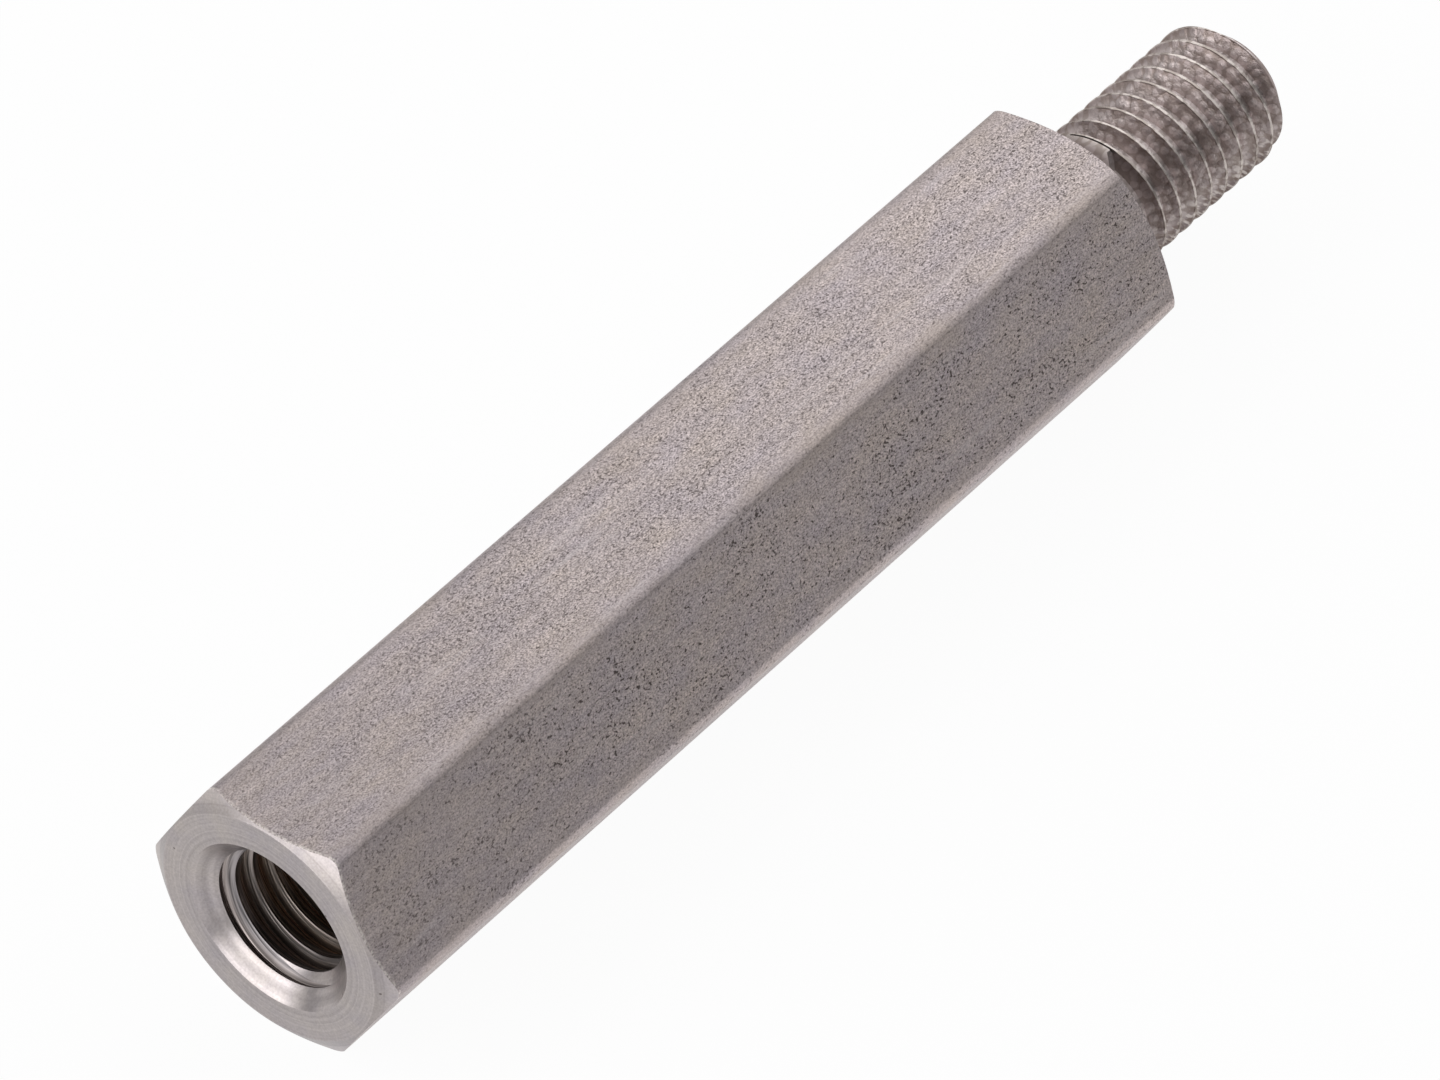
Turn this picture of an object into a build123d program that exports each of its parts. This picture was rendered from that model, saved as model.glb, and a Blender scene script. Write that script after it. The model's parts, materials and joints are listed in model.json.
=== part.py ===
"""Hex standoff: a hexagon bar with a countersunk tapped hole in one end and a stud on the other.

The part is one piece of stainless steel, turned from drawn hexagon bar, with an M8 x 1.25 thread at
both ends. It lies on one of its flats, as it comes to rest on a bench, with its axis along X: the
tapped end faces -X and the stud points along +X. All sizes are in millimetres and degrees.
"""
from build123d import *
from math import radians, tan
import os

# Hexagon body
across_flats = 13.0
long_edge_radius = 0.5
body_length = 60.0

# Turned chamfer at each end: its circle on the end face lies just inside the flats
chamfer_angle = 30.0
tapped_end_inset = 0.1
stud_end_inset = 0.1

# Thread of both ends, and how far its crests stand inside the nominal diameter
thread_diameter = 8.0
stud_crest_allowance = 0.14
hole_crest_allowance = 1.2

# Tapped hole
hole_depth = 20.0
drill_point_angle = 118.0
countersink_depth = 1.325
countersink_angle = 90.0

# Stud
stud_length = 14.0
stud_tip_chamfer = 1.1
stud_tip_angle = 45.0
shoulder_fillet = 0.4


def turned(outline):
    """Solid of revolution about X, from the closed outline of its half section above the axis."""
    half_section = make_face(outline.edges())
    return revolve(Plane.XZ * half_section, Axis.X)


def hexagon_bar():
    """Drawn bar with softened long edges, lying with one flat below and one above."""
    section = RegularPolygon(across_flats / 2, 6, major_radius=False)
    section = fillet(section.vertices(), long_edge_radius)
    return extrude(Plane.YZ * section, body_length)


def chamfered_blank():
    """Round bar with a cone at each end, which gives the hexagon its scalloped corners."""
    tapped_face_radius = across_flats / 2 - tapped_end_inset
    stud_face_radius = across_flats / 2 - stud_end_inset
    blank_radius = across_flats
    slope = tan(radians(chamfer_angle))
    return turned(
        Polyline(
            (0, 0),
            (0, tapped_face_radius),
            ((blank_radius - tapped_face_radius) * slope, blank_radius),
            (body_length - (blank_radius - stud_face_radius) * slope, blank_radius),
            (body_length, stud_face_radius),
            (body_length, 0),
            close=True,
        )
    )


def tapped_hole():
    """Cutter for the blind hole: a countersunk mouth, the wall at the crests and the drill's point."""
    wall_radius = (thread_diameter - hole_crest_allowance) / 2
    mouth_radius = wall_radius + countersink_depth * tan(radians(countersink_angle / 2))
    point_depth = wall_radius / tan(radians(drill_point_angle / 2))
    return turned(
        Polyline(
            (0, 0),
            (0, mouth_radius),
            (countersink_depth, wall_radius),
            (hole_depth, wall_radius),
            (hole_depth + point_depth, 0),
            close=True,
        )
    )


def stud():
    """Stud with its wall at the crests, a rounded root at the shoulder and a chamfered tip."""
    wall_radius = (thread_diameter - stud_crest_allowance) / 2
    tip_radius = wall_radius - stud_tip_chamfer * tan(radians(stud_tip_angle))
    tip = body_length + stud_length
    fillet_centre = (body_length + shoulder_fillet, wall_radius + shoulder_fillet)
    root = CenterArc(fillet_centre, shoulder_fillet, 180, 90)
    outside = Polyline(
        (body_length + shoulder_fillet, wall_radius),
        (tip - stud_tip_chamfer, wall_radius),
        (tip, tip_radius),
        (tip, 0),
        (body_length, 0),
        (body_length, wall_radius + shoulder_fillet),
    )
    return turned(root + outside)


def hex_standoff():
    """The whole part on the bench, centred along X."""
    body = hexagon_bar() & chamfered_blank()
    part = body + stud() - tapped_hole()
    overall_length = body_length + stud_length
    return Location((-overall_length / 2, 0, across_flats / 2)) * part


os.makedirs("parts", exist_ok=True)
export_step(hex_standoff(), "parts/hex_standoff.step")
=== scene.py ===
# %% [markdown]
# # A hex standoff in stainless steel
# A standoff holds a board or a panel at a set height. This one is a single piece, turned from drawn
# hexagon bar: a countersunk tapped hole in one end, a threaded stud on the other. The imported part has
# the plain form, and this lesson gives it the two threads, the edges and the skins of the real steel.
# It follows the maker's order: saw the bar, chamfer it, drill and tap the hole, thread the stud.

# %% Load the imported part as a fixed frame
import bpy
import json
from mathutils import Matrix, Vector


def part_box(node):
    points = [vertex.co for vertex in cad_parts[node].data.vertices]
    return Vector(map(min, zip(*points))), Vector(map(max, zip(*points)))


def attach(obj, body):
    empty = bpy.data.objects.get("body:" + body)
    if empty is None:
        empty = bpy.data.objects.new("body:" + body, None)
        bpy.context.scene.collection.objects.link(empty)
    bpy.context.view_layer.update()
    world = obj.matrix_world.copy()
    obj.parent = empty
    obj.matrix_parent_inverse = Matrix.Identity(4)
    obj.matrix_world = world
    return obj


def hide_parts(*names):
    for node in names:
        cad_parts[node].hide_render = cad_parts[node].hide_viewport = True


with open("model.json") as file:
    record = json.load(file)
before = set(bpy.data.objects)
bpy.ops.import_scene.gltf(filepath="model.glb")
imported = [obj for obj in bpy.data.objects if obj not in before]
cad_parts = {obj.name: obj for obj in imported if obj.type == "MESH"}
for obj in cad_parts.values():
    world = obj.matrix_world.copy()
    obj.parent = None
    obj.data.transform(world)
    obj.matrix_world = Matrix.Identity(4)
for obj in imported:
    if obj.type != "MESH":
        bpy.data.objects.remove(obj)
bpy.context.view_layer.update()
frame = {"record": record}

# %% [markdown]
# ## Sizes that come from the part
# The frame already knows where the axis, the faces and the walls are, so they are read from its box and
# its mounts and not typed again. Blender works in metres, and small parts are easier to think of in
# millimetres, so one value turns one into the other.

# %% Read the main sizes
import json
import math
import bpy
from mathutils import Vector

mm = 0.001
mounts = {mount["name"]: mount for mount in frame["record"]["mounts"]}
low_corner, high_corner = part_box("hex_standoff")
tapped_face_x = low_corner.x
stud_tip_x = high_corner.x
shoulder_x = mounts["shoulder_face"]["pos_m"][0]
axis_z = mounts["stud"]["pos_m"][2]
flat_distance = axis_z - low_corner.z
stud_radius = mounts["stud"]["dims"]["r_mm"] * mm
hole_radius = mounts["tapped_hole"]["dims"]["r_mm"] * mm
hole_wall_length = mounts["tapped_hole"]["dims"]["length_mm"] * mm
print("across flats, mm:", round(2 * flat_distance / mm, 2))
print("body length, mm:", round((shoulder_x - tapped_face_x) / mm, 2))
print("stud length, mm:", round((stud_tip_x - shoulder_x) / mm, 2))

# %% [markdown]
# ## The skins of one steel
# The bar's skin was left by the drawing die and a pickling bath, the ends were cut on a lathe, and the
# threads were cut by a die and a tap. It is the same steel four times, and four materials let each cut
# keep its own marks. They are made first, empty, because every raw shape below carries all four in the
# same order: then a boolean hands each cut face the skin of the tool that made it.

# %% Make the four skins, to be filled in later
drawn_skin = bpy.data.materials.new("drawn_pickled_stainless_steel")
turned_skin = bpy.data.materials.new("turned_stainless_steel")
stud_skin = bpy.data.materials.new("die_cut_stainless_steel")
bore_skin = bpy.data.materials.new("tapped_stainless_steel")
skins = [drawn_skin, turned_skin, stud_skin, bore_skin]


def cover(piece, skin):
    """Give a raw shape all four skins, and one of them to each of its faces."""
    for material in skins:
        piece.data.materials.append(material)
    for face in piece.data.polygons:
        face.material_index = skins.index(skin)


print("skins:", [material.name for material in skins])

# %% [markdown]
# ## The hexagon bar
# Drawn bar has flat sides and slightly rounded long edges. A cylinder with six sides is already a
# hexagon: it is laid along X and made longer than the body, so that the lathe below can face both ends.
# The six long edges are then picked by their direction and bevelled to the radius of the die. That
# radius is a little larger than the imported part's, because tumbling has softened the edges.

# %% Saw and round the bar
sawing_allowance = 2 * mm
long_edge_radius = 0.75 * mm
long_edge_steps = 6
body_middle_x = (tapped_face_x + shoulder_x) / 2
body_length = shoulder_x - tapped_face_x

bpy.ops.object.select_all(action="DESELECT")
bpy.ops.mesh.primitive_cylinder_add(
    vertices=6,
    radius=flat_distance / math.cos(math.pi / 6),
    depth=body_length + 2 * sawing_allowance,
    location=(body_middle_x, 0, axis_z),
    rotation=(0, math.pi / 2, 0),
)
standoff = bpy.context.object
standoff.name = "standoff_steel"
bpy.ops.object.transform_apply(location=True, rotation=True, scale=True)
bpy.ops.object.mode_set(mode="EDIT")
bpy.ops.mesh.select_mode(type="EDGE")
bpy.ops.mesh.select_all(action="DESELECT")
bpy.ops.object.mode_set(mode="OBJECT")
for edge in standoff.data.edges:
    start, end = [standoff.data.vertices[index].co for index in edge.vertices]
    edge.select = abs(end.x - start.x) > body_length
bpy.ops.object.mode_set(mode="EDIT")
bpy.ops.mesh.bevel(
    offset=long_edge_radius * math.tan(math.pi / 6),
    segments=long_edge_steps,
    profile=0.5,
    affect="EDGES",
)
bpy.ops.object.mode_set(mode="OBJECT")
cover(standoff, drawn_skin)
print("bar faces:", len(standoff.data.polygons))

# %% [markdown]
# ## A small lathe
# Everything round on this part is turned about the same axis. A lathe in Blender is an outline and the
# Spin operator: the outline starts as one point, each next point is extruded from the last, and Spin
# takes it once round the axis. The ends of the outline lie on the axis, so merging the doubles closes
# the poles, and the normals are set outwards afterwards.

# %% Lathe helpers
turning_facets = 192
merge_distance = 0.0005 * mm


def draw_outline(name, points):
    """Draw a line of points in the half plane y > 0; a point is (x, distance from the axis)."""
    bpy.ops.object.select_all(action="DESELECT")
    bpy.ops.mesh.primitive_plane_add(size=mm, location=(0, 0, axis_z))
    piece = bpy.context.object
    piece.name = name
    bpy.ops.object.mode_set(mode="EDIT")
    bpy.ops.mesh.select_mode(type="VERT")
    bpy.ops.mesh.select_all(action="SELECT")
    bpy.ops.mesh.merge(type="CENTER")
    bpy.ops.transform.translate(value=(points[0][0], points[0][1], 0))
    for (x, radius), (next_x, next_radius) in zip(points, points[1:]):
        step = (next_x - x, next_radius - radius, 0)
        bpy.ops.mesh.extrude_region_move(TRANSFORM_OT_translate={"value": step})
    return piece


def turn(name, points, skin):
    """Spin an outline that starts and ends on the axis into a closed solid."""
    piece = draw_outline(name, points)
    bpy.ops.mesh.select_all(action="SELECT")
    bpy.ops.mesh.spin(steps=turning_facets, angle=math.tau, center=(0, 0, axis_z), axis=(1, 0, 0))
    bpy.ops.mesh.select_all(action="SELECT")
    bpy.ops.mesh.remove_doubles(threshold=merge_distance)
    bpy.ops.mesh.normals_make_consistent(inside=False)
    bpy.ops.object.mode_set(mode="OBJECT")
    bpy.ops.object.transform_apply(location=True)
    cover(piece, skin)
    print(name, "faces:", len(piece.data.polygons))
    return piece


def combine(piece, tool, operation):
    """Cut, join or keep the common part of two solids, and clear the tool away."""
    bpy.ops.object.select_all(action="DESELECT")
    piece.select_set(True)
    bpy.context.view_layer.objects.active = piece
    boolean = piece.modifiers.new("machining", "BOOLEAN")
    boolean.operation = operation
    boolean.solver = "EXACT"
    boolean.object = tool
    bpy.ops.object.modifier_apply(modifier=boolean.name)
    bpy.data.objects.remove(tool)
    print(piece.name, operation.lower(), "faces:", len(piece.data.polygons))


# %% [markdown]
# ## Facing and chamfering the bar
# On the lathe a tool at 30 degrees takes the corners off both ends. A cone meets six flats in six
# curves, and that is what gives a hexagon its scalloped ends. Drawing those curves by hand is hard, and
# keeping what the bar and a turned blank have in common gives them exactly.

# %% Chamfer both ends
chamfer_angle = math.radians(30)
chamfer_slope = math.tan(chamfer_angle)
chamfer_inset = 0.1 * mm
face_radius = flat_distance - chamfer_inset
blank_radius = 2 * flat_distance
cone_length = (blank_radius - face_radius) * chamfer_slope
blank = turn(
    "chamfered_blank",
    [
        (tapped_face_x, 0),
        (tapped_face_x, face_radius),
        (tapped_face_x + cone_length, blank_radius),
        (shoulder_x - cone_length, blank_radius),
        (shoulder_x, face_radius),
        (shoulder_x, 0),
    ],
    turned_skin,
)
combine(standoff, blank, "INTERSECT")

# %% [markdown]
# ## Drilling and countersinking
# The hole is blind: a 6.8 mm drill leaves a 118 degree point at its bottom, and a 90 degree countersink
# opens the mouth so that a screw finds its way in. One outline holds all of it. It starts outside the
# face, because a cutter that ends exactly on the face it cuts leaves the boolean guessing.

# %% Cut the hole
countersink_depth = 1.325 * mm
cutter_overrun = 0.5 * mm
drill_point_angle = math.radians(118)
drill_point_length = hole_radius / math.tan(drill_point_angle / 2)
mouth_radius = hole_radius + countersink_depth
hole_bottom_x = tapped_face_x + countersink_depth + hole_wall_length
drill = turn(
    "countersunk_drill",
    [
        (tapped_face_x - cutter_overrun, 0),
        (tapped_face_x - cutter_overrun, mouth_radius + cutter_overrun),
        (tapped_face_x + countersink_depth, hole_radius),
        (hole_bottom_x, hole_radius),
        (hole_bottom_x + drill_point_length, 0),
    ],
    turned_skin,
)
for face in drill.data.polygons:
    if face.center.x > tapped_face_x + countersink_depth:
        face.material_index = skins.index(bore_skin)
combine(standoff, drill, "DIFFERENCE")

# %% [markdown]
# ## Breaking the sharp edges
# No cut edge on steel is perfectly sharp. A bevel of less than a tenth of a millimetre is too small to
# change the form, but it turns through every direction between its two faces, so it always finds some
# light and draws the thin bright line that the eye expects on a machined edge. A Bevel modifier that is
# limited by angle finds the cut edges by itself and leaves the facets of the round walls alone.

# %% Break the edges
broken_edge = 0.09 * mm
sharp_from = math.radians(25)
breaking = standoff.modifiers.new("broken_edges", "BEVEL")
breaking.width = broken_edge
breaking.segments = 2
breaking.limit_method = "ANGLE"
breaking.angle_limit = sharp_from
bpy.ops.object.modifier_apply(modifier=breaking.name)
print("faces with broken edges:", len(standoff.data.polygons))

# %% [markdown]
# ## A thread is one groove
# An M8 thread climbs 1.25 mm each turn, with flanks at 60 degrees. The groove is what the tool cuts, so
# the groove is modelled: its section is drawn as a closed line and the Screw modifier takes it round
# and along. The wall of the section goes straight up outside the metal, because neighbouring turns of
# the cutter must not touch. A cutter turned to its starting angle fixes where the crests come.

# %% Thread cutter
pitch = 1.25 * mm
nominal_radius = 4.0 * mm
flank_slope = math.tan(math.radians(30))
steps_per_turn = 180


def wind_groove(name, section, start_angle, turns, skin):
    """Wind a closed groove section round the axis as a right-hand helix, with its ends filled."""
    steps = round(turns * steps_per_turn)
    cutter = draw_outline(name, section)
    bpy.ops.mesh.select_all(action="SELECT")
    bpy.ops.mesh.edge_face_add()
    bpy.ops.mesh.delete(type="ONLY_FACE")
    bpy.ops.object.mode_set(mode="OBJECT")
    cutter.rotation_euler.x = start_angle
    bpy.ops.object.transform_apply(location=False, rotation=True)
    screw = cutter.modifiers.new("helix", "SCREW")
    screw.axis = "X"
    screw.angle = math.tau * turns
    screw.screw_offset = pitch * turns
    screw.steps = steps
    screw.render_steps = steps
    bpy.ops.object.modifier_apply(modifier=screw.name)
    bpy.ops.object.transform_apply(location=True)
    bpy.ops.object.mode_set(mode="EDIT")
    bpy.ops.mesh.select_all(action="SELECT")
    bpy.ops.mesh.fill_holes(sides=0)
    bpy.ops.mesh.select_all(action="SELECT")
    bpy.ops.mesh.normals_make_consistent(inside=False)
    bpy.ops.object.mode_set(mode="OBJECT")
    cover(cutter, skin)
    print(name, "faces:", len(cutter.data.polygons))
    return cutter


# %% [markdown]
# ## Tapping the hole
# The tap's teeth are pointed outwards: narrow at the thread's outer radius, wide at the wall of the
# hole. It starts outside the mouth, so the first turn fades into the countersink as it does on steel,
# and it stops short of the drill's point, as a tap has to.

# %% Tap
tap_wear = 0.07 * mm
tap_radius = nominal_radius - tap_wear
tooth_half_width = 0.15 * mm
tooth_base = tooth_half_width + (tap_radius - hole_radius) * flank_slope
tap_clearance = 0.3 * mm
tap_inside_radius = hole_radius - tap_clearance
first_groove_depth = 1.14 * mm
turns_outside = 2
tap_turns = 14
tap_start_x = tapped_face_x + first_groove_depth - turns_outside * pitch
tap = wind_groove(
    "tap",
    [
        (tap_start_x - tooth_base, tap_inside_radius),
        (tap_start_x - tooth_base, hole_radius),
        (tap_start_x - tooth_half_width, tap_radius),
        (tap_start_x + tooth_half_width, tap_radius),
        (tap_start_x + tooth_base, hole_radius),
        (tap_start_x + tooth_base, tap_inside_radius),
    ],
    0,
    tap_turns,
    bore_skin,
)
combine(standoff, tap, "DIFFERENCE")

# %% [markdown]
# ## The stud
# The stud is turned with a rounded root and a chamfered tip, and a die then cuts its thread. The die
# can't reach the shoulder, so the groove ends short of it and a plain ring of shank is left. The blank
# starts inside the body, so that the two join cleanly, and its end face keeps the lathe's skin.

# %% Turn the stud
stud_tip_chamfer = 1.1 * mm
stud_overlap = 1 * mm
root_fillet = 0.4 * mm
root_steps = 6
arc_start = 165
arc_end = 270
root_centre_x = shoulder_x + root_fillet
root_centre_radius = stud_radius + root_fillet
root_arc = []
for step in range(root_steps + 1):
    angle = math.radians(arc_start + (arc_end - arc_start) * step / root_steps)
    arc_x = root_centre_x + root_fillet * math.cos(angle)
    arc_radius = root_centre_radius + root_fillet * math.sin(angle)
    root_arc.append((arc_x, arc_radius))
stud = turn(
    "stud_blank",
    [(shoulder_x - stud_overlap, 0), (shoulder_x - stud_overlap, root_arc[0][1])]
    + root_arc
    + [
        (stud_tip_x - stud_tip_chamfer, stud_radius),
        (stud_tip_x, stud_radius - stud_tip_chamfer),
        (stud_tip_x, 0),
    ],
    stud_skin,
)
facing_the_tip = 0.9
for face in stud.data.polygons:
    if face.normal.x > facing_the_tip:
        face.material_index = skins.index(turned_skin)

# %% [markdown]
# The groove begins at a certain angle round the stud, and its place along the stud follows from that
# angle, because every turn of the helix moves it on by one pitch. The angles are in degrees.

# %% Wind the die
groove_root_radius = 3.233 * mm
groove_top_radius = 3.945 * mm
groove_clear_radius = 4.5 * mm
groove_root_half = 0.1675 * mm
groove_top_half = groove_root_half + (groove_top_radius - groove_root_radius) * flank_slope
groove_clear_half = 0.45 * mm
full_turn = 360
full_depth_angle = 112
ring_step = full_turn / steps_per_turn
lifted_rings = 6
die_angle = full_depth_angle - lifted_rings * ring_step
pitches_from_shoulder = 1.625
die_turns = 10
groove_start_x = shoulder_x + pitch * (die_angle / full_turn + pitches_from_shoulder)
die_section = [
    (groove_start_x - groove_clear_half, groove_clear_radius),
    (groove_start_x - groove_top_half, groove_top_radius),
    (groove_start_x - groove_root_half, groove_root_radius),
    (groove_start_x + groove_root_half, groove_root_radius),
    (groove_start_x + groove_top_half, groove_top_radius),
    (groove_start_x + groove_clear_half, groove_clear_radius),
]
die = wind_groove("die", die_section, math.radians(die_angle), die_turns, stud_skin)

# %% [markdown]
# Where the die stops, its leading teeth cut less and less. The first rings of the cutter are lifted out
# of the metal, and moved towards the tip just so far that the flank of the first crest stays where it
# is. The die also chatters in the tough steel: a Displace modifier with a cloud texture shakes it.

# %% Run-out and chatter of the die
first_lift = 0.68 * mm
chatter_size = 0.35 * mm
chatter_depth = 0.08 * mm
for index, vertex in enumerate(die.data.vertices):
    ring = index // len(die_section)
    if ring < lifted_rings:
        lift = first_lift * (1 - ring / lifted_rings)
        outward = Vector((0, vertex.co.y, vertex.co.z - axis_z)).normalized()
        vertex.co += outward * lift
        vertex.co.x += lift * flank_slope
chatter = bpy.data.textures.new("chatter", "CLOUDS")
chatter.noise_scale = chatter_size
chatter.noise_depth = 1
shake = die.modifiers.new("chatter", "DISPLACE")
shake.texture = chatter
shake.texture_coords = "LOCAL"
shake.strength = chatter_depth
bpy.ops.object.modifier_apply(modifier=shake.name)
combine(stud, die, "DIFFERENCE")

# %% [markdown]
# One tooth reaches further round than the rest and leaves a thin slot beside the first crest. It is
# the same kind of groove, so the same helper winds it, over a ninth of a turn. Then the stud and the
# body become one solid, as they are on the bar.

# %% Slot of the leading tooth
slot_angle = 64
slot_sweep = 40
slot_turns = slot_sweep / full_turn
slot_width = 0.11 * mm
slot_depth = 0.25 * mm
slot_floor = stud_radius - slot_depth
slot_groove_x = shoulder_x + pitch * (slot_angle / full_turn + pitches_from_shoulder)
slot_edge_x = slot_groove_x + groove_top_half
floor_from = 0.65 * slot_width
floor_to = 0.5 * slot_width
leading_tooth = wind_groove(
    "leading_tooth",
    [
        (slot_edge_x - slot_width, groove_clear_radius),
        (slot_edge_x - slot_width, stud_radius),
        (slot_edge_x - floor_from, slot_floor),
        (slot_edge_x - floor_to, slot_floor),
        (slot_edge_x, stud_radius),
        (slot_edge_x, groove_clear_radius),
    ],
    math.radians(slot_angle),
    slot_turns,
    stud_skin,
)
combine(stud, leading_tooth, "DIFFERENCE")
combine(standoff, stud, "UNION")

# %% [markdown]
# ## Clean mesh, soft and sharp edges
# The booleans leave a few doubled points. They are merged, the normals are set, and faces are shaded
# smooth up to a small angle, so curved walls look round and cut edges stay crisp. A Weighted Normal
# modifier then lets the large flats keep their own direction beside the narrow rounded edges.

# %% Finish the mesh
smooth_angle = math.radians(24)
bpy.ops.object.select_all(action="DESELECT")
standoff.select_set(True)
bpy.context.view_layer.objects.active = standoff
bpy.ops.object.mode_set(mode="EDIT")
bpy.ops.mesh.select_all(action="SELECT")
bpy.ops.mesh.remove_doubles(threshold=merge_distance)
bpy.ops.mesh.normals_make_consistent(inside=False)
bpy.ops.object.mode_set(mode="OBJECT")
bpy.ops.object.shade_smooth_by_angle(angle=smooth_angle)
weighted = standoff.modifiers.new("flat_sides", "WEIGHTED_NORMAL")
weighted.keep_sharp = True
bpy.ops.object.modifier_apply(modifier=weighted.name)
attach(standoff, "root")
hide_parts("hex_standoff")
standoff.data.calc_loop_triangles()
print("triangles:", len(standoff.data.loop_triangles))

# %% [markdown]
# ## Material helpers
# Colours are written as the hex values that a picture shows, and one function turns them into the
# linear values that Blender computes with. A second one adds a node, sets it and links its inputs.

# %% Colour and node helpers


def linear(hex_colour):
    """sRGB hex colour as a linear RGBA value."""
    channels = [int(hex_colour[i : i + 2], 16) / 255 for i in (1, 3, 5)]
    return tuple(c / 12.92 if c <= 0.04045 else ((c + 0.055) / 1.055) ** 2.4 for c in channels) + (1.0,)


def add_node(tree, kind, inputs=None, **settings):
    """Add a node, set its properties, and set or link its inputs, by socket name or number."""
    node = tree.nodes.new(kind)
    for name, value in settings.items():
        setattr(node, name, value)
    for socket, value in (inputs or {}).items():
        if isinstance(value, bpy.types.NodeSocket):
            tree.links.new(value, node.inputs[socket])
        else:
            node.inputs[socket].default_value = value
    return node


def millimetre_grid(tree, stretch=(1, 1, 1)):
    """Object coordinates in millimetres, centred on the part's axis and stretched along X, Y or Z."""
    place = add_node(tree, "ShaderNodeTexCoord")
    scale = tuple(s / mm for s in stretch)
    offset = (0, 0, -axis_z * scale[2])
    inputs = {"Vector": place.outputs["Object"], "Location": offset, "Scale": scale}
    return add_node(tree, "ShaderNodeMapping", inputs).outputs["Vector"]


# %% [markdown]
# ## Drawn and pickled skin of the flats
# The die leaves long faint streaks, and the pickling bath that removes the scale eats the steel deeper
# in some of its crystals than in others. From a hand's width away that reads as a dense salt and pepper
# grain, less than a tenth of a millimetre wide, with darker pits where the bath bit deepest. The long
# edges were pressed hardest against the die, so they are burnished and have fewer pits. Pale scuffs run
# along the bar where parts rubbed in the box, and the chamfer tool rolled up a thin burr, which is painted
# as a bright highlight line. One noise draws the grain, the high spots of a second one are the pits, and
# the distance from the part's axis tells the middle of a flat from its edges.

# %% Drawn steel
drawn_skin.use_nodes = True
tree = drawn_skin.node_tree
shader = tree.nodes["Principled BSDF"]
grid = millimetre_grid(tree)
drawn_grid = millimetre_grid(tree, (0.7, 1, 1))
patch_grid = millimetre_grid(tree, (0.4, 1, 1))
scuff_grid = millimetre_grid(tree, (0.08, 1, 1))
streak_grid = millimetre_grid(tree, (0.04, 1, 1))
section_grid = millimetre_grid(tree, (0, 1, 1))

# Grain of the etched surface, 0.08 mm, a little longer along the bar
grain = add_node(
    tree, "ShaderNodeTexNoise", {"Vector": drawn_grid, "Scale": 1 / 0.08, "Detail": 1.0, "Roughness": 0.5}
).outputs["Fac"]
# Stains of the pickling bath, 1.5 mm wide and longer along the bar
stain = add_node(
    tree, "ShaderNodeTexNoise", {"Vector": patch_grid, "Scale": 1 / 1.5, "Detail": 4.0, "Roughness": 0.6}
).outputs["Fac"]
# Places where the bath bit deeper, 2.2 mm wide
bath = add_node(
    tree, "ShaderNodeTexNoise", {"Vector": patch_grid, "Scale": 1 / 2.2, "Detail": 2.0, "Roughness": 0.5}
).outputs["Fac"]
# Streaks of the die, 0.35 mm wide and twenty-five times as long
streak = add_node(
    tree, "ShaderNodeTexNoise", {"Vector": streak_grid, "Scale": 1 / 0.35, "Detail": 3.0, "Roughness": 0.5}
).outputs["Fac"]
print("patterns of the drawn skin:", len(tree.nodes))

# %% [markdown]
# The bath didn't bite everywhere alike. The burnished edges and the smoother tapped end have fewer
# pits, and elsewhere the pits crowd where the bath bit deeper. So the noise of the pits is raised by a
# second, slower noise, and what stands above a level is a pit.

# %% Pits of the drawn steel
# Burnished long edges: the distance from the axis is 6.5 mm on a flat's middle and 7.4 mm on an edge
axis_distance = add_node(
    tree, "ShaderNodeVectorMath", {0: section_grid}, operation="LENGTH"
).outputs["Value"]
ragged_edge = add_node(
    tree, "ShaderNodeMath", {0: stain, 1: 0.6, 2: axis_distance}, operation="MULTIPLY_ADD"
).outputs[0]
off_edge = add_node(
    tree,
    "ShaderNodeMapRange",
    {"Value": ragged_edge, "From Min": 7.3, "From Max": 7.75, "To Min": 1.0, "To Max": 0.5},
    interpolation_type="SMOOTHSTEP",
).outputs["Result"]
# Towards the tapped end the bar is smoother
place = add_node(tree, "ShaderNodeSeparateXYZ", {0: grid})
bite_along = add_node(
    tree,
    "ShaderNodeMapRange",
    {
        "Value": place.outputs["X"],
        "From Min": tapped_face_x / mm + 2,
        "From Max": tapped_face_x / mm + 18,
        "To Min": 0.65,
        "To Max": 1.0,
    },
).outputs["Result"]
pitted = add_node(tree, "ShaderNodeMath", {0: off_edge, 1: bite_along}, operation="MULTIPLY").outputs[0]
# Pits, about 0.1 mm wide, and more of them where the bath bit deeper
bite = add_node(
    tree,
    "ShaderNodeTexNoise",
    {"Vector": drawn_grid, "W": 4.0, "Scale": 1 / 0.13, "Detail": 1.5, "Roughness": 0.5},
    noise_dimensions="4D",
).outputs["Fac"]
bath_bite = add_node(
    tree, "ShaderNodeMath", {0: bath, 1: 0.24, 2: bite}, operation="MULTIPLY_ADD"
).outputs[0]
all_pits = add_node(
    tree,
    "ShaderNodeMapRange",
    {"Value": bath_bite, "From Min": 0.7, "From Max": 0.8, "To Min": 0.0, "To Max": 1.0},
    interpolation_type="SMOOTHSTEP",
).outputs["Result"]
pits = add_node(tree, "ShaderNodeMath", {0: all_pits, 1: pitted}, operation="MULTIPLY").outputs[0]
print("with pits:", len(tree.nodes))

# %% [markdown]
# The colour starts from a warm grey that shifts a little with the stains. Grain and streaks make it
# lighter and darker, and multiplying keeps the steel's own hue while they do. The pits are mixed in as a
# dark brown, because hardly any light comes back out of them.

# %% Colour of the drawn steel
tint = add_node(tree, "ShaderNodeValToRGB", {"Fac": stain})
tint.color_ramp.elements[0].position = 0.32
tint.color_ramp.elements[0].color = linear("#b2a8aa")
tint.color_ramp.elements[1].position = 0.68
tint.color_ramp.elements[1].color = linear("#b9ada8")
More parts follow.
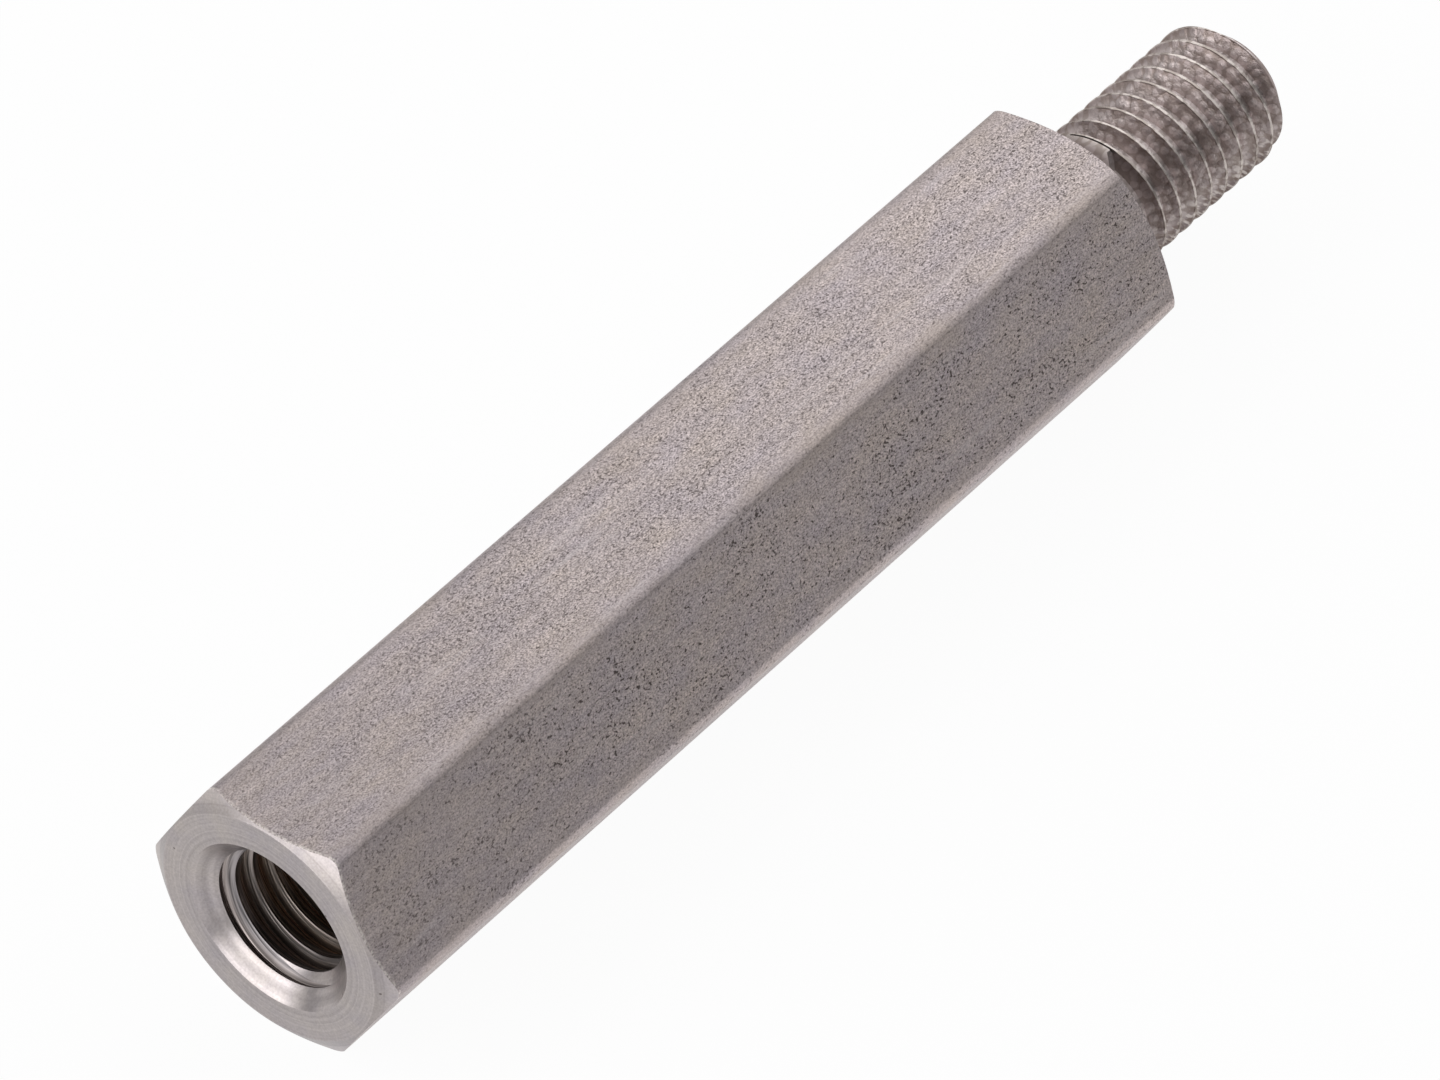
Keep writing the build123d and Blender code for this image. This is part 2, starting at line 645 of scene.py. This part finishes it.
# The flat that faces up, 6.5 mm above the axis, gets more grain and paler pits: painted light
top_flat_painted_light = add_node(
    tree, "ShaderNodeMapRange", {"Value": place.outputs["Z"], "From Min": 6.2, "From Max": 6.45}
).outputs["Result"]
flat_span = add_node(
    tree, "ShaderNodeMapRange", {"Value": top_flat_painted_light, "To Min": 1.8, "To Max": 2.0}
).outputs["Result"]
grain_span = add_node(tree, "ShaderNodeMath", {0: pitted, 1: flat_span}, operation="MULTIPLY").outputs[0]
grain_centred = add_node(tree, "ShaderNodeMath", {0: grain, 1: 0.5}, operation="SUBTRACT").outputs[0]
grain_shade = add_node(
    tree, "ShaderNodeMath", {0: grain_centred, 1: grain_span, 2: 1.0}, operation="MULTIPLY_ADD"
).outputs[0]
streak_shade = add_node(
    tree,
    "ShaderNodeMapRange",
    {"Value": streak, "From Min": 0.3, "From Max": 0.7, "To Min": 0.93, "To Max": 1.07},
).outputs["Result"]
streaked = add_node(
    tree, "ShaderNodeMath", {0: grain_shade, 1: streak_shade}, operation="MULTIPLY"
).outputs[0]
# Painted light on the long edges: the lower ones, which mirror the white table, are painted paler than the
# upper ones
edge_painted_light_level = add_node(
    tree,
    "ShaderNodeMapRange",
    {"Value": place.outputs["Z"], "From Min": -0.5, "From Max": 2.0, "To Min": 1.1, "To Max": 0.98},
).outputs["Result"]
painted_edge_light = add_node(
    tree,
    "ShaderNodeMapRange",
    {"Value": off_edge, "From Min": 0.5, "From Max": 1.0, "To Min": edge_painted_light_level, "To Max": 1.0},
).outputs["Result"]
shade = add_node(tree, "ShaderNodeMath", {0: streaked, 1: painted_edge_light}, operation="MULTIPLY").outputs[0]
skin_colour = add_node(
    tree,
    "ShaderNodeMixRGB",
    {"Fac": 1.0, "Color1": tint.outputs["Color"], "Color2": shade},
    blend_type="MULTIPLY",
).outputs["Color"]
# Painted light: the pits on the upper flat are painted paler
pit_strength = add_node(
    tree, "ShaderNodeMapRange", {"Value": top_flat_painted_light, "To Min": 0.88, "To Max": 0.65}
).outputs["Result"]
pit_share = add_node(tree, "ShaderNodeMath", {0: pits, 1: pit_strength}, operation="MULTIPLY").outputs[0]
pitted_colour = add_node(
    tree, "ShaderNodeMixRGB", {"Fac": pit_share, "Color1": skin_colour, "Color2": linear("#453c39")}
).outputs["Color"]
print("with colour:", len(tree.nodes))

# %% [markdown]
# Handling and turning leave marks of their own. A noise that is stretched along the bar gives the
# scuffs. The burr, painted bright as a highlight line, needs a place and not a noise: on a cone the place
# along the axis changes in step with the distance from it, so one sum of the two finds the line where the
# flats meet the chamfer.

# %% Scuffs and burr
# Scuffs, pale rub marks half a millimetre wide and several millimetres long
rubbed = add_node(
    tree,
    "ShaderNodeTexNoise",
    {"Vector": scuff_grid, "W": 2.0, "Scale": 1 / 0.6, "Detail": 4.0, "Roughness": 0.65},
    noise_dimensions="4D",
).outputs["Fac"]
scuffs = add_node(
    tree,
    "ShaderNodeMapRange",
    {"Value": rubbed, "From Min": 0.58, "From Max": 0.73, "To Min": 0.0, "To Max": 0.55},
).outputs["Result"]
scuffed_colour = add_node(
    tree, "ShaderNodeMixRGB", {"Fac": scuffs, "Color1": pitted_colour, "Color2": linear("#cdc4c5")}
).outputs["Color"]
# Burr that the chamfer tool rolled up, painted as a bright highlight: a thin broken line where the flats
# meet the cone of the chamfer
cone_start = (tapped_face_x - face_radius * chamfer_slope) / mm
behind_cone = add_node(
    tree,
    "ShaderNodeMath",
    {0: axis_distance, 1: -chamfer_slope, 2: place.outputs["X"]},
    operation="MULTIPLY_ADD",
).outputs[0]
rolled_up = add_node(
    tree,
    "ShaderNodeMapRange",
    {
        "Value": behind_cone,
        "From Min": cone_start + 0.08,
        "From Max": cone_start + 0.2,
        "To Min": 1.0,
        "To Max": 0.0,
    },
).outputs["Result"]
broken = add_node(
    tree,
    "ShaderNodeMapRange",
    {"Value": bite, "From Min": 0.42, "From Max": 0.58, "To Min": 0.0, "To Max": 0.75},
).outputs["Result"]
burr_and_highlight = add_node(tree, "ShaderNodeMath", {0: rolled_up, 1: broken}, operation="MULTIPLY").outputs[0]
burr_and_highlight_colour = add_node(
    tree, "ShaderNodeMixRGB", {"Fac": burr_and_highlight, "Color1": scuffed_colour, "Color2": linear("#f2eae5")}
).outputs["Color"]
print("with scuffs and burr:", len(tree.nodes))

# %% [markdown]
# The pale grains are the smooth ones, so the roughness falls where the grain is light. Grain and pits are
# about a hundredth of a millimetre deep, which is too little for the mesh, so a Bump node gives them.

# %% Finish of the drawn steel
roughness = add_node(
    tree,
    "ShaderNodeMapRange",
    {"Value": grain, "From Min": 0.3, "From Max": 0.7, "To Min": 0.58, "To Max": 0.46},
).outputs["Result"]
height = add_node(tree, "ShaderNodeMath", {0: pits, 1: -1.2, 2: grain}, operation="MULTIPLY_ADD").outputs[0]
relief = add_node(tree, "ShaderNodeBump", {"Strength": 0.5, "Distance": 0.012 * mm, "Height": height})
shader.inputs["Metallic"].default_value = 1.0
tree.links.new(burr_and_highlight_colour, shader.inputs["Base Color"])
tree.links.new(roughness, shader.inputs["Roughness"])
tree.links.new(relief.outputs["Normal"], shader.inputs["Normal"])
print("drawn skin nodes:", len(tree.nodes))

# %% [markdown]
# ## Turned skin of the ends and the countersink
# A lathe tool leaves rings round the axis, one for each turn of the part. On a good finishing cut they
# are only a tenth of a millimetre apart and hardly deep, so they show as faint circles. Noise that
# depends on nothing but the distance from the axis draws them. A fine speckle breaks them up, and a few
# small nicks from the tumbling drum, each a Voronoi point with a dark middle, tell the eye that the part
# was handled.

# %% Turned steel
turned_skin.use_nodes = True
tree = turned_skin.node_tree
shader = tree.nodes["Principled BSDF"]
grid = millimetre_grid(tree)
section_grid = millimetre_grid(tree, (0, 1, 1))
axis_distance = add_node(
    tree, "ShaderNodeVectorMath", {0: section_grid}, operation="LENGTH"
).outputs["Value"]
# Rings of the lathe tool, drawn 0.3 mm apart and so coarser than they are, or they would not show
rings = add_node(
    tree,
    "ShaderNodeTexNoise",
    {"W": axis_distance, "Scale": 1 / 0.3, "Detail": 4.0, "Roughness": 0.65},
    noise_dimensions="1D",
).outputs["Fac"]
# Patches of slightly warmer and cooler steel, 2.2 mm wide, and a speckle of 0.12 mm
stain = add_node(
    tree, "ShaderNodeTexNoise", {"Vector": grid, "Scale": 1 / 2.2, "Detail": 4.0, "Roughness": 0.6}
).outputs["Fac"]
speckle = add_node(
    tree, "ShaderNodeTexNoise", {"Vector": grid, "Scale": 1 / 0.12, "Detail": 1.0, "Roughness": 0.5}
).outputs["Fac"]
tint = add_node(tree, "ShaderNodeValToRGB", {"Fac": stain})
tint.color_ramp.elements[0].position = 0.3
tint.color_ramp.elements[0].color = linear("#a19a9c")
tint.color_ramp.elements[1].position = 0.7
tint.color_ramp.elements[1].color = linear("#aca4a0")
ring_shade = add_node(
    tree,
    "ShaderNodeMapRange",
    {"Value": rings, "From Min": 0.3, "From Max": 0.7, "To Min": 0.88, "To Max": 1.12},
).outputs["Result"]
speckle_shade = add_node(
    tree,
    "ShaderNodeMapRange",
    {"Value": speckle, "From Min": 0.3, "From Max": 0.7, "To Min": 0.91, "To Max": 1.09},
).outputs["Result"]
ring_speckle = add_node(
    tree, "ShaderNodeMath", {0: ring_shade, 1: speckle_shade}, operation="MULTIPLY"
).outputs[0]
# Painted light on the chamfer, 6.4 mm from the axis and more: darker inside, paler towards the corners
corner_painted_light = add_node(
    tree,
    "ShaderNodeMapRange",
    {"Value": axis_distance, "From Min": 6.4, "From Max": 7.1, "To Min": 0.82, "To Max": 1.15},
).outputs["Result"]
on_chamfer = add_node(
    tree, "ShaderNodeMath", {0: axis_distance, 1: 6.4}, operation="GREATER_THAN"
).outputs[0]
chamfer_painted_light = add_node(
    tree, "ShaderNodeMapRange", {"Value": on_chamfer, "To Min": 1.0, "To Max": corner_painted_light}
).outputs["Result"]
shade = add_node(
    tree, "ShaderNodeMath", {0: ring_speckle, 1: chamfer_painted_light}, operation="MULTIPLY"
).outputs[0]
ringed_colour = add_node(
    tree,
    "ShaderNodeMixRGB",
    {"Fac": 1.0, "Color1": tint.outputs["Color"], "Color2": shade},
    blend_type="MULTIPLY",
).outputs["Color"]
print("rings and speckle:", len(tree.nodes))

# %% [markdown]
# The nicks are few, small and dark. The points of a Voronoi texture give their places, and only the
# middle of each point is coloured. The paler rings are a little smoother, so the same noise that shades
# them also sets the roughness and the fine relief.

# %% Nicks and finish of the turned steel
# Nicks, a tenth of a millimetre wide and about 1.4 mm apart
nick_points = add_node(tree, "ShaderNodeTexVoronoi", {"Vector": section_grid, "Scale": 1 / 1.4})
nicks = add_node(
    tree,
    "ShaderNodeMapRange",
    {
        "Value": nick_points.outputs["Distance"],
        "From Min": 0.03,
        "From Max": 0.06,
        "To Min": 0.75,
        "To Max": 0.0,
    },
    interpolation_type="SMOOTHSTEP",
).outputs["Result"]
nicked_colour = add_node(
    tree, "ShaderNodeMixRGB", {"Fac": nicks, "Color1": ringed_colour, "Color2": linear("#463c39")}
).outputs["Color"]
roughness = add_node(
    tree,
    "ShaderNodeMapRange",
    {"Value": rings, "From Min": 0.3, "From Max": 0.7, "To Min": 0.38, "To Max": 0.3},
).outputs["Result"]
relief = add_node(tree, "ShaderNodeBump", {"Strength": 0.4, "Distance": 0.006 * mm, "Height": rings})
shader.inputs["Metallic"].default_value = 1.0
tree.links.new(nicked_colour, shader.inputs["Base Color"])
tree.links.new(roughness, shader.inputs["Roughness"])
tree.links.new(relief.outputs["Normal"], shader.inputs["Normal"])
print("turned skin nodes:", len(tree.nodes))

# %% [markdown]
# ## Die-cut skin of the stud
# A die cuts stainless steel with a little chatter: the flanks are torn into soft scales, about 0.4 mm
# wide, that lie across the groove, with oil dried between them. The roots of the grooves are painted
# paler than the flanks, painted light against the shade in the grooves. The sharp edges of the crests
# were burnished by the die, and a painted highlight draws a thin bright line along each turn. The plain
# shank beside the shoulder, which the die never reached, is smoother. A smooth Voronoi texture gives the
# scales, and the distance from the axis tells root, flank and crest apart.

# %% Die-cut steel
stud_skin.use_nodes = True
tree = stud_skin.node_tree
shader = tree.nodes["Principled BSDF"]
grid = millimetre_grid(tree)
scale_grid = millimetre_grid(tree, (0.3, 1, 1))
section_grid = millimetre_grid(tree, (0, 1, 1))
axis_distance = add_node(
    tree, "ShaderNodeVectorMath", {0: section_grid}, operation="LENGTH"
).outputs["Value"]
# Scales, 0.42 mm wide and longer along the stud, and the fine tear in them
scales = add_node(
    tree,
    "ShaderNodeTexVoronoi",
    {"Vector": scale_grid, "Scale": 1 / 0.42, "Smoothness": 0.1},
    feature="SMOOTH_F1",
)
tear = add_node(
    tree, "ShaderNodeTexNoise", {"Vector": grid, "Scale": 1 / 0.1, "Detail": 2.0, "Roughness": 0.6}
).outputs["Fac"]
stain = add_node(
    tree, "ShaderNodeTexNoise", {"Vector": grid, "Scale": 1 / 1.2, "Detail": 3.0, "Roughness": 0.6}
).outputs["Fac"]
# Painted light: pale roots against the shade in the grooves, darker flanks; the root lies 3.2 mm from the
# axis and the crest 3.9 mm
root_painted_light = add_node(
    tree,
    "ShaderNodeMapRange",
    {"Value": axis_distance, "From Min": 3.3, "From Max": 3.75, "To Min": 0.0, "To Max": 1.0},
).outputs["Result"]
tint = add_node(tree, "ShaderNodeValToRGB", {"Fac": root_painted_light})
tint.color_ramp.elements[0].position = 0.0
tint.color_ramp.elements[0].color = linear("#d7ccca")
tint.color_ramp.elements[1].position = 1.0
tint.color_ramp.elements[1].color = linear("#9a8e8c")
# Painted highlight on the crests, on the turns that the die cut
place = add_node(tree, "ShaderNodeSeparateXYZ", {0: grid})
threaded = add_node(
    tree,
    "ShaderNodeMapRange",
    {
        "Value": place.outputs["X"],
        "From Min": shoulder_x / mm + 2.2,
        "From Max": shoulder_x / mm + 3.0,
        "To Min": 0.0,
        "To Max": 0.75,
    },
).outputs["Result"]
crest = add_node(
    tree,
    "ShaderNodeMapRange",
    {"Value": axis_distance, "From Min": 3.87, "From Max": 3.92, "To Min": 0.0, "To Max": 1.0},
).outputs["Result"]
crest_painted_highlight = add_node(tree, "ShaderNodeMath", {0: crest, 1: threaded}, operation="MULTIPLY").outputs[0]
crest_highlight_colour = add_node(
    tree,
    "ShaderNodeMixRGB",
    {"Fac": crest_painted_highlight, "Color1": tint.outputs["Color"], "Color2": linear("#ded6d0")},
).outputs["Color"]
print("tints of the stud:", len(tree.nodes))

# %% [markdown]
# Each scale has its own shade, as a flake of metal that lies at its own angle has. A Voronoi texture
# gives every cell a colour by chance, and one channel of it is enough for the shade.

# %% Shades of the scales
scale_tone = add_node(tree, "ShaderNodeSeparateColor", {"Color": scales.outputs["Color"]}).outputs["Red"]
scale_shade = add_node(
    tree, "ShaderNodeMapRange", {"Value": scale_tone, "To Min": 0.93, "To Max": 1.07}
).outputs["Result"]
stain_shade = add_node(
    tree,
    "ShaderNodeMapRange",
    {"Value": stain, "From Min": 0.3, "From Max": 0.7, "To Min": 0.95, "To Max": 1.05},
).outputs["Result"]
cell_shade = add_node(
    tree, "ShaderNodeMath", {0: scale_shade, 1: stain_shade}, operation="MULTIPLY"
).outputs[0]
# Painted shade: the under side is darker
underside_painted_shade = add_node(
    tree,
    "ShaderNodeMapRange",
    {"Value": place.outputs["Z"], "From Min": -3.0, "From Max": 1.5, "To Min": 0.58, "To Max": 1.0},
).outputs["Result"]
shade = add_node(tree, "ShaderNodeMath", {0: cell_shade, 1: underside_painted_shade}, operation="MULTIPLY").outputs[0]
scaled_colour = add_node(
    tree,
    "ShaderNodeMixRGB",
    {"Fac": 1.0, "Color1": crest_highlight_colour, "Color2": shade},
    blend_type="MULTIPLY",
).outputs["Color"]
print("with shades:", len(tree.nodes))

# %% [markdown]
# Ribs of the die's chatter on one side of the thread are painted bright: painted glints. The dot product
# of place and direction tells that side from the others, and a noise that is stretched along the stud
# draws the ribs. The dried oil lies over them, so it is mixed in after them, and the plain shank comes
# last, because the die never reached it.

# %% Painted glints, oil and shank
# Painted glints: on one side, low at the front, the ribs of the thread are painted bright
glint_side = add_node(
    tree, "ShaderNodeVectorMath", {0: grid, 1: (0, -0.85, -0.53)}, operation="DOT_PRODUCT"
).outputs["Value"]
glint_side_mask = add_node(
    tree,
    "ShaderNodeMapRange",
    {"Value": glint_side, "From Min": 2.5, "From Max": 3.6, "To Min": 0.0, "To Max": 0.5},
).outputs["Result"]
torn = add_node(
    tree,
    "ShaderNodeTexNoise",
    {"Vector": scale_grid, "W": 3.0, "Scale": 1 / 0.3, "Detail": 1.0, "Roughness": 0.5},
    noise_dimensions="4D",
).outputs["Fac"]
torn_rib = add_node(
    tree, "ShaderNodeMapRange", {"Value": torn, "From Min": 0.5, "From Max": 0.6}
).outputs["Result"]
glint = add_node(tree, "ShaderNodeMath", {0: glint_side_mask, 1: torn_rib}, operation="MULTIPLY").outputs[0]
painted_glint_colour = add_node(
    tree, "ShaderNodeMixRGB", {"Fac": glint, "Color1": scaled_colour, "Color2": linear("#e9e1db")}
).outputs["Color"]
# Oil that dried between the scales
oil = add_node(
    tree,
    "ShaderNodeMapRange",
    {"Value": scales.outputs["Distance"], "From Min": 0.46, "From Max": 0.62, "To Min": 0.0, "To Max": 0.4},
    interpolation_type="SMOOTHSTEP",
).outputs["Result"]
oiled_colour = add_node(
    tree, "ShaderNodeMixRGB", {"Fac": oil, "Color1": painted_glint_colour, "Color2": linear("#6a5a4e")}
).outputs["Color"]
# The shank beside the shoulder kept the smoother, paler skin of the lathe
shank = add_node(
    tree,
    "ShaderNodeMapRange",
    {
        "Value": place.outputs["X"],
        "From Min": shoulder_x / mm + 1.3,
        "From Max": shoulder_x / mm + 2.1,
        "To Min": 0.8,
        "To Max": 0.0,
    },
).outputs["Result"]
shank_colour = add_node(
    tree, "ShaderNodeMixRGB", {"Fac": shank, "Color1": oiled_colour, "Color2": linear("#c2b9b5")}
).outputs["Color"]
print("with oil and shank:", len(tree.nodes))

# %% [markdown]
# The scales stand about two hundredths of a millimetre high, and only on the flanks, because the die
# pressed the crests smooth. The helix itself is in the mesh, and a Bump node is enough for the scales.

# %% Relief and finish of the die-cut steel
soft_tear = add_node(tree, "ShaderNodeMath", {0: tear, 1: 0.6}, operation="MULTIPLY").outputs[0]
height = add_node(
    tree, "ShaderNodeMath", {0: scales.outputs["Distance"], 1: -1.6, 2: soft_tear}, operation="MULTIPLY_ADD"
).outputs[0]
flank = add_node(tree, "ShaderNodeMath", {0: 1.0, 1: crest}, operation="SUBTRACT").outputs[0]
flank_height = add_node(tree, "ShaderNodeMath", {0: height, 1: flank}, operation="MULTIPLY").outputs[0]
relief = add_node(tree, "ShaderNodeBump", {"Strength": 1.0, "Distance": 0.025 * mm, "Height": flank_height})
shader.inputs["Metallic"].default_value = 1.0
# The die starts with a dull cut beside the shoulder
dull_start = add_node(
    tree,
    "ShaderNodeMapRange",
    {
        "Value": place.outputs["X"],
        "From Min": shoulder_x / mm + 2.0,
        "From Max": shoulder_x / mm + 3.2,
        "To Min": 0.7,
        "To Max": 0.38,
    },
).outputs["Result"]
tree.links.new(dull_start, shader.inputs["Roughness"])
shader.inputs["Specular Tint"].default_value = linear("#a89e9c")
tree.links.new(shank_colour, shader.inputs["Base Color"])
tree.links.new(relief.outputs["Normal"], shader.inputs["Normal"])
print("die-cut skin nodes:", len(tree.nodes))

# %% [markdown]
# ## Tapped skin of the hole
# Fine bright and dark lines run along the thread, as the tap's teeth left them, and oil has dried brown
# in the grooves and deeper in the hole. The lines need a noise that changes fast across the thread and
# slowly along it. The angle round the axis and the place along it give the phase of the thread, and
# the sine and cosine of that phase make the pattern close on itself after each turn.

# %% Tapped steel
bore_skin.use_nodes = True
tree = bore_skin.node_tree
shader = tree.nodes["Principled BSDF"]
grid = millimetre_grid(tree)
section_grid = millimetre_grid(tree, (0, 1, 1))
axis_distance = add_node(
    tree, "ShaderNodeVectorMath", {0: section_grid}, operation="LENGTH"
).outputs["Value"]
place = add_node(tree, "ShaderNodeSeparateXYZ", {0: grid})
angle = add_node(
    tree, "ShaderNodeMath", {0: place.outputs["Z"], 1: place.outputs["Y"]}, operation="ARCTAN2"
).outputs[0]
advance = add_node(
    tree, "ShaderNodeMath", {0: place.outputs["X"], 1: math.tau * mm / pitch}, operation="MULTIPLY"
).outputs[0]
phase = add_node(tree, "ShaderNodeMath", {0: advance, 1: angle}, operation="SUBTRACT").outputs[0]
across = add_node(tree, "ShaderNodeMath", {0: phase}, operation="COSINE").outputs[0]
aslant = add_node(tree, "ShaderNodeMath", {0: phase}, operation="SINE").outputs[0]
thread_place = add_node(tree, "ShaderNodeCombineXYZ", {0: across, 1: aslant, 2: axis_distance}).outputs[0]
slow_grid = millimetre_grid(tree, (0, 0.12, 0.12))
line_place = add_node(
    tree, "ShaderNodeVectorMath", {0: thread_place, 1: slow_grid}, operation="ADD"
).outputs["Vector"]
# Lines along the thread, about 0.15 mm apart
lines = add_node(
    tree, "ShaderNodeTexNoise", {"Vector": line_place, "Scale": 1.6, "Detail": 2.0, "Roughness": 0.65}
).outputs["Fac"]
print("lines of the tap:", len(tree.nodes))

# %% [markdown]
# Oil stays in the grooves, which lie further from the axis than the ridges. So the distance from the
# axis says where it is, and a noise makes its edge ragged. The oil is painted paler than the ridges, as
# painted light against the shade in the grooves. The lines darken steel and oil alike.

# %% Oil and finish of the tapped steel
# Oil in the grooves, painted paler as painted light, with a ragged edge of 0.3 mm
oil = add_node(
    tree, "ShaderNodeTexNoise", {"Vector": grid, "Scale": 1 / 0.3, "Detail": 4.0, "Roughness": 0.7}
).outputs["Fac"]
oil_level = add_node(
    tree, "ShaderNodeMath", {0: oil, 1: 0.3, 2: axis_distance}, operation="MULTIPLY_ADD"
).outputs[0]
groove_oil_and_light = add_node(
    tree,
    "ShaderNodeMapRange",
    {"Value": oil_level, "From Min": 3.7, "From Max": 4.0, "To Min": 0.0, "To Max": 1.0},
).outputs["Result"]
# The oil is browner deeper in the hole, and oil and ridges are painted paler there: painted light against
# the shade of the hole
depth = add_node(
    tree,
    "ShaderNodeMapRange",
    {
        "Value": place.outputs["X"],
        "From Min": tapped_face_x / mm + 1.6,
        "From Max": tapped_face_x / mm + 3.4,
    },
).outputs["Result"]
ridge_colour = add_node(
    tree, "ShaderNodeMixRGB", {"Fac": depth, "Color1": linear("#878283"), "Color2": linear("#968b84")}
).outputs["Color"]
oil_and_painted_light_colour = add_node(
    tree, "ShaderNodeMixRGB", {"Fac": depth, "Color1": linear("#8c8380"), "Color2": linear("#b29c8a")}
).outputs["Color"]
oiled_colour = add_node(
    tree, "ShaderNodeMixRGB", {"Fac": groove_oil_and_light, "Color1": ridge_colour, "Color2": oil_and_painted_light_colour}
).outputs["Color"]
line_shade = add_node(
    tree,
    "ShaderNodeMapRange",
    {"Value": lines, "From Min": 0.38, "From Max": 0.62, "To Min": 0.3, "To Max": 1.45},
).outputs["Result"]
lined_colour = add_node(
    tree,
    "ShaderNodeMixRGB",
    {"Fac": 1.0, "Color1": oiled_colour, "Color2": line_shade},
    blend_type="MULTIPLY",
).outputs["Color"]
relief = add_node(tree, "ShaderNodeBump", {"Strength": 0.8, "Distance": 0.04 * mm, "Height": lines})
shader.inputs["Metallic"].default_value = 1.0
shader.inputs["Roughness"].default_value = 0.32
tree.links.new(lined_colour, shader.inputs["Base Color"])
tree.links.new(relief.outputs["Normal"], shader.inputs["Normal"])
print("tapped skin nodes:", len(tree.nodes))

# %% [markdown]
# ## Floor
# The part lies on a white table, as small parts do for a catalogue. A plane is enough for it. It shows
# white to the camera and in the metal, and a small share of plain matt white in it keeps the part's soft
# shadow. The Light Path node tells those rays from the ones that only carry light.

# %% White table
table_size = 6.0
shown_white = 0.95
bpy.ops.object.select_all(action="DESELECT")
bpy.ops.mesh.primitive_plane_add(size=table_size, location=(0, 0, 0))
table = bpy.context.object
table.name = "white_table"
paper = bpy.data.materials.new("white_paper")
paper.use_nodes = True
table.data.materials.append(paper)
tree = paper.node_tree
tree.nodes.clear()
seen = add_node(tree, "ShaderNodeLightPath")
camera_or_gloss = add_node(
    tree,
    "ShaderNodeMath",
    {0: seen.outputs["Is Camera Ray"], 1: seen.outputs["Is Glossy Ray"]},
    operation="MAXIMUM",
)
shown = add_node(
    tree,
    "ShaderNodeMath",
    {0: camera_or_gloss.outputs[0], 1: seen.outputs["Is Transmission Ray"]},
    operation="MAXIMUM",
)
share = add_node(tree, "ShaderNodeMath", {0: shown.outputs[0], 1: shown_white}, operation="MULTIPLY")
matt = add_node(tree, "ShaderNodeBsdfDiffuse", {"Color": linear("#f4f4f4")})
white = add_node(tree, "ShaderNodeEmission", {"Color": (1, 1, 1, 1), "Strength": 1.0})
mixed = add_node(
    tree, "ShaderNodeMixShader", {0: share.outputs[0], 1: matt.outputs[0], 2: white.outputs[0]}
)
add_node(tree, "ShaderNodeOutputMaterial", {"Surface": mixed.outputs[0]})
print("table:", table.name)

# %% [markdown]
# ## Light
# Metal shows what stands round it, so each soft box is placed for the faces that mirror it. The end box
# fills the tapped end, and the small top box gives the countersink its bright spot. The upper flat
# mirrors the stud box, and the flanks of the thread mirror the back box. The front box lifts the side
# flat and the crests, the tip box the far end, and the low rim box the back of the stud. An Area lamp
# has a size, which gives soft edges, and the room itself stays dim.

# %% Soft boxes and room
lit_point = Vector((0, 0, axis_z))


def softbox(name, direction, distance, width, height, radiance):
    """A rectangular lamp that faces the part from a direction, as bright as a surface of that radiance."""
    towards = Vector(direction).normalized()
    bpy.ops.object.light_add(type="AREA", location=lit_point + towards * distance)
    lamp = bpy.context.object
    lamp.name = name
    lamp.rotation_euler = towards.to_track_quat("Z", "Y").to_euler()
    lamp.data.shape = "RECTANGLE"
    lamp.data.size = width
    lamp.data.size_y = height
    lamp.data.energy = radiance * width * height * math.pi
    lamp.visible_camera = False
    return lamp


softbox("end_softbox", (-1.0, 0.1, 0.4), distance=0.45, width=0.6, height=0.36, radiance=2.5)
softbox("stud_softbox", (0.75, 0.42, 0.72), distance=0.22, width=0.20, height=0.20, radiance=1.32)
softbox("front_softbox", (0.39, -0.433, 0.81), distance=0.187, width=0.17, height=0.17, radiance=1.0)
softbox("back_softbox", (-0.5, 0.75, 0.6), distance=0.45, width=0.36, height=0.36, radiance=1.1)
softbox("tip_softbox", (1.0, 0.0, 0.3), distance=0.3, width=0.24, height=0.16, radiance=0.45)
softbox("rim_softbox", (0.5, 0.85, 0.22), distance=0.5, width=0.6, height=0.2, radiance=0.5)
softbox("top_softbox", (-0.34, 0.44, 0.83), distance=0.4, width=0.14, height=0.14, radiance=2.5)
room = bpy.data.worlds.new("dim_room")
bpy.context.scene.world = room
room.use_nodes = True
room.node_tree.nodes["Background"].inputs["Color"].default_value = linear("#e8ebee")
room.node_tree.nodes["Background"].inputs["Strength"].default_value = 0.12

# %% [markdown]
# ## Camera
# The view looks down at 45 degrees past the tapped end, from half a metre with a long lens, which keeps
# the two ends of the bar nearly the same size. The place is worked out from two angles and a distance,
# as one would set a tripod.

# %% Camera
camera_azimuth = math.radians(-51.153)
camera_elevation = math.radians(44.983)
camera_distance = 529.5 * mm
camera_aim = Vector((-4.965, -0.956, 7.486)) * mm
back = Vector(
    (
        math.sin(camera_azimuth) * math.cos(camera_elevation),
        -math.cos(camera_azimuth) * math.cos(camera_elevation),
        math.sin(camera_elevation),
    )
)
bpy.ops.object.camera_add(location=camera_aim + back * camera_distance)
camera = bpy.context.object
camera.rotation_euler = (-back).to_track_quat("-Z", "Y").to_euler()
camera.data.sensor_width = 36.0
camera.data.lens = 277.826
camera.data.clip_start = 0.01
camera.data.clip_end = 20
bpy.context.scene.camera = camera
bpy.context.scene.view_settings.view_transform = "Standard"
print("camera at, mm:", [round(v / mm, 1) for v in camera.location])
